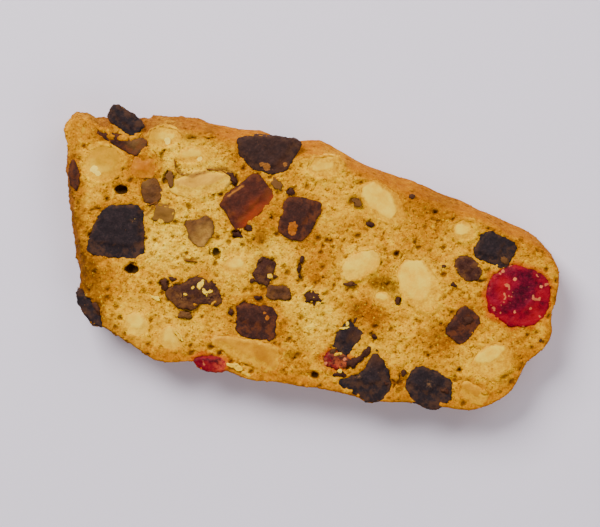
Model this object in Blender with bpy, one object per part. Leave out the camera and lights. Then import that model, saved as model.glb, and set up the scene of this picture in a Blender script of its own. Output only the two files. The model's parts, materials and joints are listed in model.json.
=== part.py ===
"""A slice of a fruit and nut loaf, baked a second time into a crisp cookie.

The slice lies on one of its two cut faces. X runs along it, Y across it and Z up
through it. The origin is on the table, under the middle of its outline.
"""

import math
import random
from collections import namedtuple

import bmesh
import bpy
from mathutils import Matrix, Vector, noise
from mathutils.geometry import delaunay_2d_cdt

MM = 0.001

# Driving dimensions of the slice
LENGTH = 103.0 * MM
WIDTH = 50.6 * MM
THICKNESS = 8.0 * MM
LEAN = Vector((2.0, -2.8, 0.0)) * MM    # from the lower cut face to the upper one: a skew cut
FIT_GAP = 0.3 * MM                      # between the crumb and each piece baked into it
BASE_GAP = 0.1 * MM                     # a piece cut by the lower face ends just inside it
PROUD = 0.1 * MM                        # a piece cut by the upper face stands out of it
CUTTER_REACH = 1.5 * MM                 # how far a pocket's cutter runs past a cut face

# The crumb's outline half way up: its four corners as shares of half the length and half
# the width, the length of side that each one's rounding takes, and the bulge of the side after it
Corner = namedtuple("Corner", "along across rounding bulge")
CORNERS = (
    Corner(-0.985, 0.755, 5.0 * MM, 4.4 * MM),
    Corner(1.010, 0.635, 14.0 * MM, 1.6 * MM),
    Corner(0.885, -0.780, 13.0 * MM, 1.8 * MM),
    Corner(-0.755, -0.835, 6.0 * MM, 1.2 * MM),
)
EDGE_STEP = 2.0 * MM                    # between points along the outline
FACE_STEP = 4.2 * MM                    # between the points that the upper face rises and falls at

# Lumps (+) and notches (-) round the edge: where, how far out at the lower and the upper
# cut face, and how wide
Lump = namedtuple("Lump", "x y lower upper spread")
LUMPS = (
    Lump(-50.0, 17.0, 0.4, 2.6, 4.2),
    Lump(-44.6, 19.6, -1.2, -0.6, 2.0),
    Lump(-40.5, 20.5, 0.8, 1.6, 2.6),
    Lump(-36.6, 21.0, -0.6, -1.2, 2.0),
    Lump(-28.0, 22.0, 1.2, 0.8, 6.0),
    Lump(-13.5, 22.5, 0.8, 1.6, 3.4),
    Lump(-0.6, 22.5, 2.1, 1.1, 4.6),
    Lump(19.0, 21.0, 0.0, -1.0, 8.0),
    Lump(51.0, 3.0, 0.6, -0.4, 5.0),
    Lump(48.0, -9.0, -0.6, -0.8, 4.0),
    Lump(20.5, -22.5, 0.4, 0.8, 3.0),
    Lump(-5.0, -22.5, 0.2, 1.0, 3.4),
    Lump(-24.0, -22.0, 0.8, 1.9, 5.0),
    Lump(-36.0, -20.0, -0.8, -1.0, 3.0),
    Lump(-42.5, -9.0, -0.2, -1.6, 6.0),
    Lump(-48.0, 9.0, 0.4, 1.0, 4.0),
)

# The rings of the crumb's wall: height as a share of the thickness, and how far the
# crumbled edge draws in there
WALL_RINGS = ((0.0, 0.7 * MM), (0.12, 0.1 * MM), (0.5, 0.0), (0.88, 0.1 * MM), (1.0, 0.6 * MM))
WALL_ROUGHNESS = 0.45 * MM
FACE_WAVE = 0.40 * MM                   # rise and fall of the upper cut face
NOISE_SCALE = 170.0                     # cycles of that roughness in a metre
INSIDE_ONLY = 1                         # the fill that keeps the triangles inside the outline
MERGE_DISTANCE = 0.001 * MM             # points closer than this count as one in that fill

# Hollows that the knife opened in the upper face: x, y, length, width, turn, depth
Pit = namedtuple("Pit", "x y length width turn depth")
PITS = (
    Pit(-28.9, 10.9, 2.4, 1.8, -66.0, 1.3),
    Pit(-16.0, 13.5, 2.6, 1.5, -60.0, 1.5),
    Pit(-13.6, 2.7, 2.6, 1.5, 20.0, 1.3),
    Pit(-0.1, 0.0, 2.8, 1.1, -75.0, 1.1),
    Pit(17.9, 6.3, 1.8, 1.4, 10.0, 1.2),
    Pit(-37.5, 6.3, 3.0, 1.9, 13.0, 2.2),
    Pit(-31.9, -8.3, 3.1, 2.0, 13.0, 2.4),
    Pit(-19.6, -14.6, 2.7, 1.4, 13.0, 1.6),
    Pit(-16.6, -1.4, 2.2, 1.4, 13.0, 1.6),
    Pit(7.6, -20.4, 2.2, 1.5, -20.0, 1.5),
)

# What is baked into the slice. Sizes are in millimetres and degrees, and places are those at
# the upper face: below it a piece leans as the nearest wall does if that one overhangs. An
# outline is an oval, a block with four cut corners, or its own few corners round the piece's
# middle. A piece is cut by the upper face, the lower face or both, and depth is how much of it
# one face alone leaves in the slice.
OVAL, BLOCK = "oval", "block"
UPPER, LOWER, BOTH = "upper", "lower", "both"
Piece = namedtuple("Piece", "name stuff x y length width turn outline cut depth")

PRUNE_BIG = ((-3.3, 4.4), (3.1, 6.0), (5.7, -4.0), (-5.2, -5.4), (-5.0, 0.4))
PRUNE_TOP = ((-6.0, 0.3), (-5.3, -2.2), (-2.0, -4.2), (2.4, -4.4), (4.2, -3.2), (6.2, 3.0), (-3.6, 1.8))
PRUNE_LOW = ((-5.6, -1.9), (-1.0, 0.4), (0.6, 5.2), (4.0, 2.0), (4.8, -2.6), (1.6, -4.2))
PRUNE_RIGHT = ((-4.4, -0.4), (-2.9, 3.9), (3.9, 2.4), (4.4, -1.0), (1.6, -3.8), (-2.6, -2.8))
DATE_AMBER = ((0.4, 5.6), (-5.0, -1.5), (-2.2, -4.6), (-0.6, -6.2), (3.0, -1.4), (5.0, 1.9))
DATE_TAN = ((-3.4, 3.3), (3.4, 3.7), (3.6, 2.2), (2.4, -2.4), (1.4, -4.0), (-1.6, -4.2), (-3.3, -3.2))
DATE_SQUARE = ((-4.2, 2.6), (3.2, 3.0), (4.1, -2.8), (-2.9, -3.2))
DATE_CURL = ((-5.6, 0.7), (-4.4, 1.3), (0.1, 0.8), (4.0, 1.5), (4.1, 0.1), (2.4, -1.7), (-1.8, -0.7))
RAISIN_LONG = ((-5.1, -1.7), (-4.7, -0.2), (-2.2, 1.3), (0.3, 3.2), (3.8, 2.2), (5.2, 0.0), (4.6, -1.1),
               (1.6, -1.2), (0.6, -2.6), (-2.0, -3.2))
FRUIT_HEART = ((-3.0, 0.9), (-1.2, 1.7), (0.6, 2.8), (2.2, 1.9), (2.1, -0.8), (1.1, -2.8), (-1.0, -2.0))
CANDIED_STRIP = ((-8.8, 0.2), (-6.4, 1.9), (4.8, 2.5), (6.5, -1.4), (5.6, -3.0), (0.4, -2.4))

PIECES = (
    Piece("nut_corner", "nut", -47.6, 15.8, 5.0, 4.6, -32, OVAL, UPPER, 6.6),
    Piece("nut_left", "nut", -42.0, 10.4, 8.0, 7.0, 40, OVAL, UPPER, 6.8),
    Piece("nut_top_left", "nut", -31.5, 18.2, 6.5, 4.3, 16, OVAL, UPPER, 5.0),
    Piece("nut_upper", "nut", -25.3, 16.1, 6.4, 3.9, 21, OVAL, UPPER, 4.8),
    Piece("nut_under_hump", "nut", 0.6, 19.7, 7.3, 4.3, 21, OVAL, UPPER, 5.4),
    Piece("nut_long", "nut", 13.2, 15.4, 11.0, 5.8, -31, OVAL, BOTH, 0),
    Piece("nut_middle", "nut", 11.7, 2.7, 8.2, 4.8, 42, OVAL, UPPER, 6.0),
    Piece("nut_right", "nut", 23.5, 1.3, 11.2, 7.4, -49, OVAL, BOTH, 0),
    Piece("nut_low_left", "nut", -28.6, -18.8, 5.4, 4.7, -23, OVAL, UPPER, 4.6),
    Piece("nut_low", "nut", -21.2, -19.8, 5.1, 4.8, -36, OVAL, UPPER, 3.6),
    Piece("nut_small", "nut", 17.3, -2.9, 3.8, 2.7, -8, OVAL, UPPER, 3.0),
    Piece("nut_center", "nut", -12.2, -3.1, 5.0, 3.6, 19, OVAL, UPPER, 3.6),
    Piece("walnut", "walnut", -22.3, 11.1, 12.2, 4.4, 20, OVAL, BOTH, 0),
    Piece("walnut_bit", "walnut", -28.3, 3.7, 3.9, 2.9, 2, BLOCK, UPPER, 3.2),
    Piece("prune_top_left", "prune", -39.6, 19.7, 7.0, 3.2, -22, BLOCK, UPPER, 6.2),
    Piece("prune_big", "prune", -35.9, -1.8, 0, 0, 0, PRUNE_BIG, BOTH, 0),
    Piece("prune_top", "prune", -11.2, 20.6, 0, 0, 0, PRUNE_TOP, BOTH, 0),
    Piece("prune_low", "prune", 17.6, -18.8, 0, 0, 0, PRUNE_LOW, BOTH, 0),
    Piece("prune_low_right", "prune", 29.9, -17.9, 0, 0, 0, PRUNE_RIGHT, BOTH, 0),
    Piece("prune_bit", "prune", 12.2, -12.0, 5.8, 3.9, 65, BLOCK, UPPER, 4.6),
    Piece("date_curl", "date", -38.8, 15.5, 0, 0, 0, DATE_CURL, UPPER, 4.4),
    Piece("date_amber", "date", -12.9, 10.0, 0, 0, 0, DATE_AMBER, BOTH, 0),
    Piece("date_tan", "date", -2.3, 8.9, 0, 0, 0, DATE_TAN, BOTH, 0),
    Piece("date_square", "date", -5.9, -12.8, 0, 0, 0, DATE_SQUARE, BOTH, 0),
    Piece("raisin_upper", "raisin", -31.6, 7.5, 4.6, 3.8, -63, OVAL, UPPER, 4.2),
    Piece("raisin_long", "raisin", -18.9, -10.1, 0, 0, 0, RAISIN_LONG, UPPER, 4.6),
    Piece("fruit_heart", "raisin", -20.7, 2.0, 0, 0, 0, FRUIT_HEART, UPPER, 5.0),
    Piece("raisin_shard", "raisin", -6.5, -2.9, 4.4, 3.0, 81, BLOCK, UPPER, 3.6),
    Piece("raisin_sliver", "raisin", -3.0, -6.2, 4.2, 2.0, 9, BLOCK, UPPER, 3.0),
    Piece("peel_left", "date", -47.0, 7.2, 5.0, 1.6, -72, OVAL, UPPER, 5.0),
    Piece("skin_corner", "prune", -38.2, -17.9, 7.2, 2.0, -42, OVAL, UPPER, 6.0),
    Piece("candied_orange", "orange_peel", -34.1, 11.5, 4.4, 3.6, 8, BLOCK, UPPER, 3.6),
    Piece("candied_strip", "yellow_peel", -5.6, -18.9, 0, 0, 0, CANDIED_STRIP, UPPER, 2.8),
    Piece("cherry_edge", "cherry", -12.6, -22.9, 6.6, 2.4, 1, OVAL, UPPER, 3.6),
    Piece("cherry_bit", "cherry", 11.0, -16.6, 4.8, 2.8, 8, OVAL, UPPER, 3.4),
    Piece("cherry_end", "cherry", 43.0, 3.6, 12.6, 11.4, 30, OVAL, BOTH, 0),
    Piece("prune_end", "prune", 36.4, 11.4, 7.2, 5.4, -14, BLOCK, BOTH, 0),
    Piece("date_end", "date", 33.6, -4.4, 6.6, 4.4, 68, BLOCK, BOTH, 0),
    Piece("nut_end", "nut", 41.2, -9.8, 8.6, 6.0, 35, OVAL, BOTH, 0),
    Piece("nut_end_small", "nut", 29.6, 13.6, 4.8, 4.0, 10, OVAL, UPPER, 3.2),
    Piece("raisin_end", "raisin", 32.2, 6.6, 5.0, 3.8, -30, OVAL, UPPER, 4.4),
    Piece("peel_end", "yellow_peel", 38.6, -17.0, 5.6, 3.4, -14, BLOCK, UPPER, 3.6),
    Piece("cherry_under", "cherry", -14.2, -17.2, 10.0, 8.4, -20, OVAL, LOWER, 3.2),
    Piece("walnut_under", "walnut", 5.2, -12.6, 9.0, 6.6, 25, OVAL, LOWER, 3.8),
    Piece("nut_under", "nut", 22.8, 12.6, 8.0, 5.4, -20, OVAL, LOWER, 4.2),
    Piece("date_under", "date", -28.6, -10.2, 6.4, 4.6, 52, BLOCK, LOWER, 4.2),
    Piece("peel_under", "orange_peel", -5.4, 1.4, 6.8, 4.2, -30, BLOCK, LOWER, 3.2),
)

CORNER_CUT = 0.13                       # share of a side that each cut corner takes
POINT_SPACING = 2.1 * MM                # between points round an oval
RAGGED = 0.07                           # how far a piece's outline strays from its rule
END_SHRINK = 0.86                       # the lower end of a piece that both faces cut

# Each stuff: sRGB colour, roughness
STUFFS = {
    "crumb": ((0.86, 0.66, 0.30), 0.85),
    "nut": ((0.93, 0.80, 0.50), 0.45),
    "walnut": ((0.82, 0.66, 0.40), 0.60),
    "prune": ((0.22, 0.16, 0.17), 0.45),
    "date": ((0.36, 0.19, 0.13), 0.40),
    "raisin": ((0.44, 0.30, 0.20), 0.50),
    "orange_peel": ((0.83, 0.48, 0.12), 0.35),
    "yellow_peel": ((0.90, 0.65, 0.14), 0.35),
    "cherry": ((0.56, 0.12, 0.18), 0.30),
}


def linear(value):
    """One sRGB channel as the linear value that a shader takes."""
    return value / 12.92 if value <= 0.04045 else ((value + 0.055) / 1.055) ** 2.4


def make_material(stuff):
    colour, roughness = STUFFS[stuff]
    material = bpy.data.materials.new(stuff)
    material.use_nodes = True
    shader = material.node_tree.nodes["Principled BSDF"]
    shader.inputs["Base Color"].default_value = (*[linear(c) for c in colour], 1.0)
    shader.inputs["Roughness"].default_value = roughness
    shader.inputs["Metallic"].default_value = 0.0
    return material


def make_object(name, bm, collection):
    """Closes a bmesh's faces outwards and puts it in the scene."""
    bmesh.ops.recalc_face_normals(bm, faces=bm.faces)
    mesh = bpy.data.meshes.new(name)
    bm.to_mesh(mesh)
    bm.free()
    thing = bpy.data.objects.new(name, mesh)
    collection.objects.link(thing)
    return thing


def along_outline(points, step):
    """Points at even steps round a closed line of points."""
    sides = list(zip(points, points[1:] + points[:1]))
    around = sum((b - a).length for a, b in sides)
    count = round(around / step)
    even, walked, wanted = [], 0.0, 0.0
    for a, b in sides:
        side = (b - a).length
        while wanted < walked + side and len(even) < count:
            even.append(a.lerp(b, (wanted - walked) / side))
            wanted += around / count
        walked += side
    return even


def outward(points):
    """The level direction out of a closed line of points, at each one of them."""
    normals = []
    for before, after in zip(points[-1:] + points[:-1], points[1:] + points[:1]):
        run = after - before
        normals.append(Vector((run.y, -run.x, 0.0)).normalized())
    turns = sum(a.cross(b).z for a, b in zip(points, points[1:] + points[:1]))
    return normals if turns > 0 else [-n for n in normals]


def crumb_outline():
    """The outline half way up: bulging sides between rounded corners."""
    places = [Vector((c.along * LENGTH / 2, c.across * WIDTH / 2, 0)) for c in CORNERS]
    line = []
    for index, corner in enumerate(CORNERS):
        place, after = places[index], places[(index + 1) % 4]
        before = places[index - 1]
        start = place + (before - place).normalized() * corner.rounding
        end = place + (after - place).normalized() * corner.rounding
        for step in range(9):
            t = step / 8
            line.append(start.lerp(place, t).lerp(place.lerp(end, t), t))
        next_start = after + (place - after).normalized() * CORNERS[(index + 1) % 4].rounding
        side = (after - place).normalized()
        out = Vector((-side.y, side.x, 0.0))
        for step in range(1, 24):
            t = step / 24
            line.append(end.lerp(next_start, t) + out * corner.bulge * 4 * t * (1 - t))
    return along_outline(line, EDGE_STEP)


def lumps_at(point, share):
    """How far the edge stands out near a point, at a share of the thickness."""
    out = 0.0
    for lump in LUMPS:
        distance = (point - Vector((lump.x, lump.y, 0)) * MM).length
        height = lump.lower + (lump.upper - lump.lower) * share
        out += height * MM * math.exp(-((distance / (lump.spread * MM)) ** 2))
    return out


def roughness_at(place, amount):
    return noise.noise(place * NOISE_SCALE) * amount


def fill_upper_face(bm, ring):
    """Triangles between a ring of vertices and an even grid of points inside it."""
    row_step = FACE_STEP * math.sqrt(3) / 2
    columns, rows = round(LENGTH / FACE_STEP / 2), round(WIDTH / row_step / 2)
    grid = []
    for row in range(-rows, rows + 1):
        for column in range(-columns, columns + 1):
            place = Vector(((column + row % 2 / 2) * FACE_STEP, row * row_step, THICKNESS))
            if min((place - vert.co).length for vert in ring) > FACE_STEP / 2:
                grid.append(place)
    flat = [vert.co.xy for vert in ring] + [place.xy for place in grid]
    sides = [(index, (index + 1) % len(ring)) for index in range(len(ring))]
    filled = delaunay_2d_cdt(flat, sides, [], INSIDE_ONLY, MERGE_DISTANCE)
    triangles, sources = filled[2], filled[3]
    corners = dict(enumerate(ring))
    for triangle in triangles:
        for corner in triangle:
            source = sources[corner][0]
            if source not in corners:
                place = grid[source - len(ring)]
                rise = roughness_at(place, FACE_WAVE) - FACE_WAVE / 2
                corners[source] = bm.verts.new(place + Vector((0, 0, rise)))
        bm.faces.new([corners[sources[corner][0]] for corner in triangle])


def make_crumb(collection):
    """The baked dough: two cut faces, and the crust round them."""
    middle = crumb_outline()
    normals = outward(middle)
    bm = bmesh.new()
    loops = []
    for share, draw_in in WALL_RINGS:
        ring = []
        for point, normal in zip(middle, normals):
            place = point + LEAN * (share - 0.5) + Vector((0, 0, THICKNESS * share))
            out = lumps_at(point, share) + roughness_at(place, WALL_ROUGHNESS) - draw_in
            ring.append(bm.verts.new(place + normal * out))
        loops.append([bm.edges.new(pair) for pair in zip(ring, ring[1:] + ring[:1])])
    for lower, upper in zip(loops, loops[1:]):
        bmesh.ops.bridge_loops(bm, edges=lower + upper)
    bmesh.ops.contextual_create(bm, geom=loops[0])
    fill_upper_face(bm, ring)
    bmesh.ops.triangulate(bm, faces=bm.faces)
    return make_object("crumb", bm, collection)


def piece_outline(piece, chance):
    """The outline of a piece round its own middle, in metres."""
    half_length, half_width = piece.length / 2 * MM, piece.width / 2 * MM
    if piece.outline == OVAL:
        around = math.pi * (half_length + half_width)
        count = max(8, round(around / POINT_SPACING))
        points = []
        for index in range(count):
            angle = math.tau * index / count
            stray = 1 + chance.uniform(-RAGGED, RAGGED)
            points.append(Vector((half_length * math.cos(angle), half_width * math.sin(angle), 0)) * stray)
    else:
        corners = piece.outline
        if piece.outline == BLOCK:
            signs = ((-1, -1), (1, -1), (1, 1), (-1, 1))
            corners = [(a * piece.length / 2 * (1 - chance.uniform(0, 2 * RAGGED)),
                        b * piece.width / 2 * (1 - chance.uniform(0, 2 * RAGGED))) for a, b in signs]
        corners = [Vector((x, y, 0)) * MM for x, y in corners]
        points = []
        for index, corner in enumerate(corners):
            before, after = corners[index - 1], corners[(index + 1) % len(corners)]
            points += [corner.lerp(before, CORNER_CUT), corner.lerp(after, CORNER_CUT)]
    turn = Matrix.Rotation(math.radians(piece.turn), 3, "Z")
    return [turn @ point for point in points]


def piece_rings(piece, grow):
    """Height, share of the full outline and extra width of each ring, from the bottom up."""
    top, bottom = THICKNESS + PROUD, BASE_GAP
    if piece.cut == BOTH:
        rings = [(bottom, END_SHRINK), ((top + bottom) / 2, 0.97), (top, 1.0)]
    else:
        round_end = ((0.0, 0.42), (0.16, 0.74), (0.45, 0.95), (1.0, 1.0))
        depth = piece.depth * MM
        if piece.cut == UPPER:
            rings = [(top - depth * (1 - t), share) for t, share in round_end]
        else:
            rings = [(bottom + depth * (1 - t), share) for t, share in reversed(round_end)]
    if grow:
        low, high = rings[0], rings[-1]
        down = grow if piece.cut == UPPER else CUTTER_REACH
        up = grow if piece.cut == LOWER else CUTTER_REACH
        rings[0] = (low[0] - down, low[1])
        rings[-1] = (high[0] + up, high[1])
    return rings


def make_piece(piece, name, grow, collection):
    """A piece, or with grow the cutter for the pocket that it sits in."""
    outline = piece_outline(piece, random.Random(piece.name))
    normals = outward(outline)
    place = Vector((piece.x, piece.y, 0)) * MM
    lean = Vector((LEAN.x * (0.5 + place.x / LENGTH), LEAN.y * (0.5 - place.y / WIDTH), 0))
    bm = bmesh.new()
    loops = []
    for height, share in piece_rings(piece, grow):
        middle = place + lean * (height / THICKNESS - 1) + Vector((0, 0, height))
        ring = [bm.verts.new(middle + point * share + normal * grow)
                for point, normal in zip(outline, normals)]
        loops.append([bm.edges.new(pair) for pair in zip(ring, ring[1:] + ring[:1])])
    for lower, upper in zip(loops, loops[1:]):
        bmesh.ops.bridge_loops(bm, edges=lower + upper)
    for loop in (loops[0], loops[-1]):
        bmesh.ops.contextual_create(bm, geom=loop)
    bmesh.ops.triangulate(bm, faces=bm.faces)
    return make_object(name, bm, collection)


def make_pit(index, pit, collection):
    """The cutter for a hollow in the upper face."""
    bm = bmesh.new()
    bmesh.ops.create_icosphere(bm, subdivisions=2, radius=1.0)
    size = Vector((pit.length / 2, pit.width / 2, pit.depth)) * MM
    bmesh.ops.scale(bm, vec=size, verts=bm.verts)
    bmesh.ops.rotate(bm, cent=(0, 0, 0), matrix=Matrix.Rotation(math.radians(pit.turn), 3, "Z"),
                     verts=bm.verts)
    bmesh.ops.translate(bm, vec=Vector((pit.x * MM, pit.y * MM, THICKNESS)), verts=bm.verts)
    return make_object("pit_cutter_%d" % index, bm, collection)


def bounds(things):
    """The lowest and highest corners of some objects' meshes."""
    places = [vert.co for thing in things for vert in thing.data.vertices]
    low = Vector([min(place[axis] for place in places) for axis in range(3)])
    high = Vector([max(place[axis] for place in places) for axis in range(3)])
    return low, high


def main():
    for thing in list(bpy.data.objects):
        bpy.data.objects.remove(thing)
    scene_collection = bpy.context.scene.collection
    cutters = bpy.data.collections.new("cutters")
    scene_collection.children.link(cutters)
    materials = {stuff: make_material(stuff) for stuff in STUFFS}

    crumb = make_crumb(scene_collection)
    crumb.data.materials.append(materials["crumb"])
    for piece in PIECES:
        thing = make_piece(piece, piece.name, 0.0, scene_collection)
        thing.data.materials.append(materials[piece.stuff])
        make_piece(piece, piece.name + "_pocket", FIT_GAP, cutters)
    for index, pit in enumerate(PITS):
        make_pit(index, pit, cutters)
    for cutter in cutters.objects:
        cutter.hide_render = True
        cutter.display_type = "WIRE"

    low, high = bounds([thing for thing in scene_collection.objects if thing.type == "MESH"])
    middle = (low + high) / 2
    for thing in bpy.data.objects:
        thing.location = (-middle.x, -middle.y, 0.0)

    pockets = crumb.modifiers.new("pockets", "BOOLEAN")
    pockets.operation = "DIFFERENCE"
    pockets.solver = "EXACT"
    pockets.operand_type = "COLLECTION"
    pockets.collection = cutters


main()
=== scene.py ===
import json
import math
import random

import bmesh
import bpy
import numpy as np
from mathutils import Euler, Matrix, Vector, noise
from mathutils.bvhtree import BVHTree
from mathutils.kdtree import KDTree


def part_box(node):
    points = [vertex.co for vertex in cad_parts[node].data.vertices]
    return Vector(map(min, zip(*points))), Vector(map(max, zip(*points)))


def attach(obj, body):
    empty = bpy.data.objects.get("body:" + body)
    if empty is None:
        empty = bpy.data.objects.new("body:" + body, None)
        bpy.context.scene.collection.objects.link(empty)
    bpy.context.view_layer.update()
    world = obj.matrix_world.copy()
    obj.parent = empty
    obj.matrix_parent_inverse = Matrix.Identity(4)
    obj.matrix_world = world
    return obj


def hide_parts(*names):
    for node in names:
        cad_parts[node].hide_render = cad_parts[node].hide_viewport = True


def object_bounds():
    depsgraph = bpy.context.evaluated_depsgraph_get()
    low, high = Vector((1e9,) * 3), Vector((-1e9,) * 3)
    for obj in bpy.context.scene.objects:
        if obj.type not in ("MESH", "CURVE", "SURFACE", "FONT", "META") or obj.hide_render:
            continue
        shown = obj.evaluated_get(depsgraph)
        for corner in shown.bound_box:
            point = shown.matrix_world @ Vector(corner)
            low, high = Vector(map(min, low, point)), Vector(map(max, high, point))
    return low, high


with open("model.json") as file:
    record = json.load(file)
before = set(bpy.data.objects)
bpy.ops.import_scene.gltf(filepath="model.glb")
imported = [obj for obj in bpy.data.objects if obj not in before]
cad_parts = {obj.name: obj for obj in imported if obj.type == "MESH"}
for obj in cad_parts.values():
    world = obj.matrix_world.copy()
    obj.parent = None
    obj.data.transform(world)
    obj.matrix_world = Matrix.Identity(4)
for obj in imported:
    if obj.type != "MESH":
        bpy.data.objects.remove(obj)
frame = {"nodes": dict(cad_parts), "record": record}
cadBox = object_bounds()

mm = 0.001
nodes = frame["nodes"]
slotOf = {part["node"]: part["material_slot"] for part in frame["record"]["subparts"]}
fruitNames = [name for name in slotOf if name != "crumb"]
paleSlots = ["nut", "walnut", "yellow_peel", "orange_peel"]      # with no dark gap round them
topOfSlice = 8.0 * mm       # the upper cut face
# how far each may stand past the CAD box, and the height where that is
pastBox = {"crumb": 0.15 * mm, "fruit": 0.18 * mm, "grains": 0.20 * mm}
ceiling = {kind: cadBox[1][2] + rise for kind, rise in pastBox.items()}
# corners of a CAD mesh this close are one, and a sharp one swells at most this many times as far
cadCorners = {"merge": 0.001 * mm, "sharpest": 2.0}


def smooth(low, high, value):      # 0 below low, 1 above high, or the other way round
    share = np.clip((value - low) / (high - low), 0, 1)
    return share * share * (3 - 2 * share)


def rgb(red, green, blue):      # a screen colour as the linear one that a shader takes
    shares = [part / 255 for part in (red, green, blue)]
    return (*[s / 12.92 if s <= 0.04045 else ((s + 0.055) / 1.055) ** 2.4 for s in shares], 1.0)


def added(name, data):      # a mesh, lamp or camera put into the scene
    thing = bpy.data.objects.new(name, data)
    bpy.context.scene.collection.objects.link(thing)
    return thing


def meshOf(bm, name):
    mesh = bpy.data.meshes.new(name)
    bm.to_mesh(mesh)
    bm.free()
    return mesh


def nodeCopy(name, swell=0.0):      # a CAD node's mesh, merged, and swelled to close the gap round it
    bm = bmesh.new()
    bm.from_mesh(nodes[name].data)
    bmesh.ops.remove_doubles(bm, verts=bm.verts, dist=cadCorners["merge"])
    bmesh.ops.recalc_face_normals(bm, faces=bm.faces)
    bm.normal_update()
    factors = [min(vert.calc_shell_factor(), cadCorners["sharpest"]) for vert in bm.verts]
    for vert, factor in zip(bm.verts, factors):
        vert.co += vert.normal * swell * factor
    return bm


def remeshed(bm, voxel, name):      # one closed skin round everything in the bmesh
    rough = meshOf(bm, name)
    thing = added(name, rough)
    skin = thing.modifiers.new("skin", "REMESH")
    skin.mode = "VOXEL"
    skin.voxel_size = voxel
    shaped = thing.evaluated_get(bpy.context.evaluated_depsgraph_get())
    mesh = bpy.data.meshes.new_from_object(shaped)
    bpy.data.objects.remove(thing)
    bpy.data.meshes.remove(rough)
    return mesh


def rowsOf(layer, key):      # the vectors of a mesh layer, one in each row
    flat = np.empty(len(layer) * 3, "f")
    layer.foreach_get(key, flat)
    return flat.reshape(-1, 3).astype("d")


def shapeOf(mesh):      # its points and their normals
    return rowsOf(mesh.vertices, "co"), rowsOf(mesh.vertex_normals, "vector")


def movePoints(mesh, points):
    mesh.vertices.foreach_set("co", points.astype("f").ravel())
    mesh.update()


def treeOf(places):      # which finds the nearest of some places
    tree = KDTree(len(places))
    for index, place in enumerate(places):
        tree.insert(Vector(place), index)
    tree.balance()
    return tree


def paint(mesh, **layers):      # one named value for each point, which the materials read
    for name, values in layers.items():
        layer = mesh.attributes.new(name, "FLOAT", "POINT")
        layer.data.foreach_set("value", np.asarray(values, "f"))


def seedPlace(seed):      # where in the noise a pattern starts
    return Vector((seed * 7.31, seed * 3.17, seed * 5.73))


def noiseAt(points, size, octaves=3, seed=0.0):      # about -1 to 1, with lumps of that size
    fade, finer = 0.9, 2.0      # of each octave beside the one before it
    start = seedPlace(seed)
    return np.array([noise.fractal(Vector(p) / size + start, fade, finer, octaves) for p in points])


def cellsAt(points, size, seed=0.0):      # 0 in the middle of a grain, more towards its edge
    start = seedPlace(seed)
    return np.array([noise.voronoi(Vector(p) / size + start)[0][0] for p in points])


def finish(mesh, name, material, slot, *replaced):
    mesh.shade_smooth()
    mesh.materials.append(material)
    thing = added(name, mesh)
    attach(thing, "root")
    if replaced:
        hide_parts(*replaced)


class Link:      # a shader value that Python's operators work on
    def __init__(self, look, socket):
        self.look = look
        self.socket = socket

    def maths(self, operation, first, second):
        return self.look.node("Math", {"operation": operation}, {0: first, 1: second})

    def __add__(self, other):
        return self.maths("ADD", self, other)

    def __sub__(self, other):
        return self.maths("SUBTRACT", self, other)

    def __rsub__(self, other):
        return self.maths("SUBTRACT", other, self)

    def __mul__(self, other):
        return self.maths("MULTIPLY", self, other)

    __radd__ = __add__
    __rmul__ = __mul__


class Look:      # a material, with its nodes made one by one
    def __init__(self, name, **fixed):
        self.material = bpy.data.materials.new(name)
        self.material.use_nodes = True
        self.tree = self.material.node_tree
        self.shader = self.tree.nodes["Principled BSDF"]
        for socket, value in fixed.items():
            self.shader.inputs[socket.replace("_", " ")].default_value = value
        self.place = self.node("TexCoord", output="Object")

    def node(self, kind, settings=None, sockets=None, output=0):
        made = self.tree.nodes.new("ShaderNode" + kind)
        for key, value in (settings or {}).items():
            if key == "stops":
                while len(made.color_ramp.elements) < len(value):
                    made.color_ramp.elements.new(0.5)
                for element, (position, colour) in zip(made.color_ramp.elements, value):
                    element.position = position
                    element.color = rgb(*colour)
            else:
                setattr(made, key, value)
        for key, value in (sockets or {}).items():
            if isinstance(value, Link):
                self.tree.links.new(value.socket, made.inputs[key])
            else:
                made.inputs[key].default_value = value
        return Link(self, made.outputs[output])

    def noise(self, size, detail=3.0, roughness=0.6, offset=0.0):      # 0 to 1, lumps of that size in metres
        place = self.node("Mapping", {}, {"Vector": self.place, "Location": (offset, offset, 0)})
        return self.node("TexNoise", {}, {"Vector": place, "Scale": 1 / size, "Detail": detail,
                                          "Roughness": roughness})

    def step(self, low, high, value):      # 0 below low, 1 above high
        return self.node("MapRange", {"interpolation_type": "SMOOTHSTEP"},
                         {"Value": value, "From Min": low, "From Max": high})

    def layer(self, name):
        return self.node("Attribute", {"attribute_name": name}, output="Fac")

    def mix(self, share, first, second):      # of two colours, the second a link or a screen colour
        second = second if isinstance(second, Link) else rgb(*second)
        return self.node("Mix", {"data_type": "RGBA"}, {0: share, 6: first, 7: second}, output=2)

    def spots(self):      # the spot layer with a ragged edge
        spot = self.layer("spot")
        ragged = spot + (self.noise(0.8 * mm, 3, 0.7, 0.6) - 0.5) * 1.5
        return self.step(0.52, 0.66, ragged) * self.step(0.02, 0.1, spot)

    def ramp(self, value, *stops):      # each stop a place from 0 to 1 and a screen colour
        return self.node("ValToRGB", {"stops": stops}, {0: value})

    def use(self, colour, height, deep, roughness=None):      # deep: how far the height's 0 to 1 stands up
        self.tree.links.new(colour.socket, self.shader.inputs["Base Color"])
        if roughness is not None:
            self.tree.links.new(roughness.socket, self.shader.inputs["Roughness"])
        bump = self.node("Bump", {}, {"Distance": deep, "Height": height})
        self.tree.links.new(bump.socket, self.shader.inputs["Normal"])
        return self.material


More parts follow.
